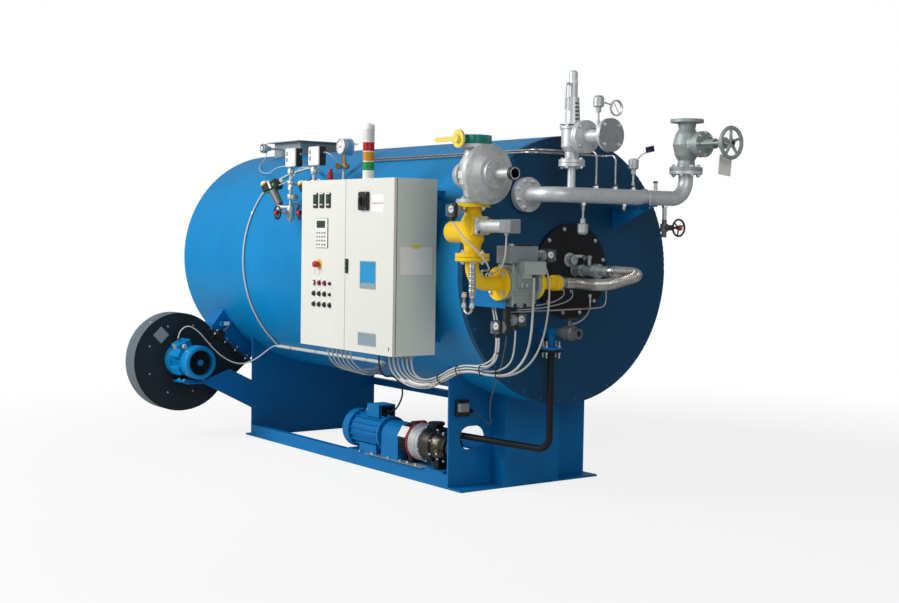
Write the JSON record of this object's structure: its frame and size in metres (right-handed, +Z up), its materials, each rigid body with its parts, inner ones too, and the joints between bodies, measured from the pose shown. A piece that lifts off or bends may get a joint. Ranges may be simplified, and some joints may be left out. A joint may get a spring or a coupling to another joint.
{
  "type": "horizontal steam boiler",
  "caption": "Horizontal round-shell steam boiler on a steel stand, with burner door, gas train, steam header, control cabinet, combustion fan and feed pump.",
  "frame": {"origin": "on the floor, in the middle of the front support's foot plate", "axes": "+X forward out of the burner end along the shell, +Y to the side away from the control cabinet, +Z up"},
  "size_m": [4.233, 2.2106, 2.475],
  "materials": {
    "blue_paint": "gloss",
    "black_paint": "satin",
    "light_grey_paint": "fine texture",
    "silver_paint": "satin",
    "yellow_paint": "gloss",
    "teal_paint": "satin",
    "bare_steel": "satin",
    "grey_iron": "rough",
    "aluminium": "satin",
    "grey_plastic": "satin",
    "dark_plastic": "satin",
    "red_plastic": "gloss",
    "black_jacket": "satin",
    "grey_jacket": "satin",
    "lamp_plastic": "gloss"
  },
  "bodies": {
    "boiler": {"boiler_shell": "blue_paint", "front_plate": "blue_paint", "rear_plate": "blue_paint", "burner_door": "black_paint", "burner_fittings": "bare_steel", "front_support": "blue_paint", "rear_support": "blue_paint", "base_rails": "blue_paint", "flue_collar": "blue_paint", "fan_housing": "black_paint", "fan_duct": "blue_paint", "fan_motor": "blue_paint", "cabinet_body": "light_grey_paint", "signal_tower": "lamp_plastic", "steam_header": "silver_paint", "wall_brackets": "blue_paint", "stop_valve": "silver_paint", "safety_valve": "silver_paint", "safety_outlet": "silver_paint", "instruments": "aluminium", "small_tubes": "bare_steel", "small_valves": "grey_iron", "gas_inlet_valve": "teal_paint", "gas_regulator": "aluminium", "gas_shutoff_valve": "silver_paint", "valve_actuators": "dark_plastic", "gas_fittings": "yellow_paint", "gas_valve_block": "aluminium", "gas_hose": "bare_steel", "pressure_switches": "grey_plastic", "feed_nozzle": "blue_paint", "feed_pipe": "black_paint", "pump_motor": "blue_paint", "pump_guard": "black_paint", "pump": "grey_iron", "instrument_stands": "bare_steel", "shell_cable": "grey_jacket", "fan_cable": "grey_jacket", "cabinet_loop_1": "grey_jacket", "cabinet_loop_2": "grey_jacket", "gas_cable_1": "grey_jacket", "gas_cable_2": "grey_jacket", "gas_cable_3": "grey_jacket", "gas_cable_4": "grey_jacket", "gas_cable_5": "grey_jacket", "gas_cable_6": "grey_jacket", "pump_cable": "black_jacket", "support_cable": "black_jacket"},
    "left_door": {"cabinet_door_left": "light_grey_paint", "left_door_controls": "dark_plastic"},
    "right_door": {"cabinet_door_right": "light_grey_paint", "right_door_controls": "dark_plastic"},
    "main_switch": {"main_switch_handle": "red_plastic"},
    "gas_lever_body": {"gas_lever": "bare_steel"},
    "stop_wheel": {"stop_valve_wheel": "grey_iron"},
    "drain_wheel_body": {"drain_wheel": "black_paint"},
    "rear_stand_wheel": {"stand_wheel_rear": "black_paint"},
    "front_stand_wheel": {"stand_wheel_front": "black_paint"},
    "ball_handle": {"ball_valve_handle": "dark_plastic"}
  },
  "joints": [
    {"name": "left_door_hinge", "type": "hinge", "parent": "boiler", "child": "left_door", "pos_m": [-0.887, -1.0786, 1.3485], "axis": [0, 0, -1], "range_deg": [0, 120]},
    {"name": "right_door_hinge", "type": "hinge", "parent": "boiler", "child": "right_door", "pos_m": [0.136, -1.0786, 1.3485], "axis": [0, 0, 1], "range_deg": [0, 120]},
    {"name": "main_switch_turn", "type": "hinge", "parent": "right_door", "child": "main_switch", "pos_m": [-0.167, -1.1189, 1.724], "axis": [0, 1, 0], "range_deg": [0, 90]},
    {"name": "gas_lever_turn", "type": "hinge", "parent": "boiler", "child": "gas_lever_body", "pos_m": [0.668, -1.055, 2.049], "axis": [0, 1, 0], "range_deg": [0, 90]},
    {"name": "stop_valve_spindle", "type": "hinge", "parent": "boiler", "child": "stop_wheel", "pos_m": [1.008, 0.69, 2.102], "axis": [1, 0, 0], "range_deg": [0, 1800]},
    {"name": "drain_valve_spindle", "type": "hinge", "parent": "boiler", "child": "drain_wheel_body", "pos_m": [0.771, 0.515, 1.599], "axis": [1, 0, 0], "range_deg": [0, 1080]},
    {"name": "rear_stand_spindle", "type": "hinge", "parent": "boiler", "child": "rear_stand_wheel", "pos_m": [-1.462, -0.95, 1.662], "axis": [0, -1, 0], "range_deg": [0, 1080]},
    {"name": "front_stand_spindle", "type": "hinge", "parent": "boiler", "child": "front_stand_wheel", "pos_m": [-1.162, -0.95, 1.662], "axis": [0, -1, 0], "range_deg": [0, 1080]},
    {"name": "ball_valve_turn", "type": "hinge", "parent": "boiler", "child": "ball_handle", "pos_m": [0.633, -0.207, 1.069], "axis": [0, 0, 1], "range_deg": [0, 90]}
  ]
}
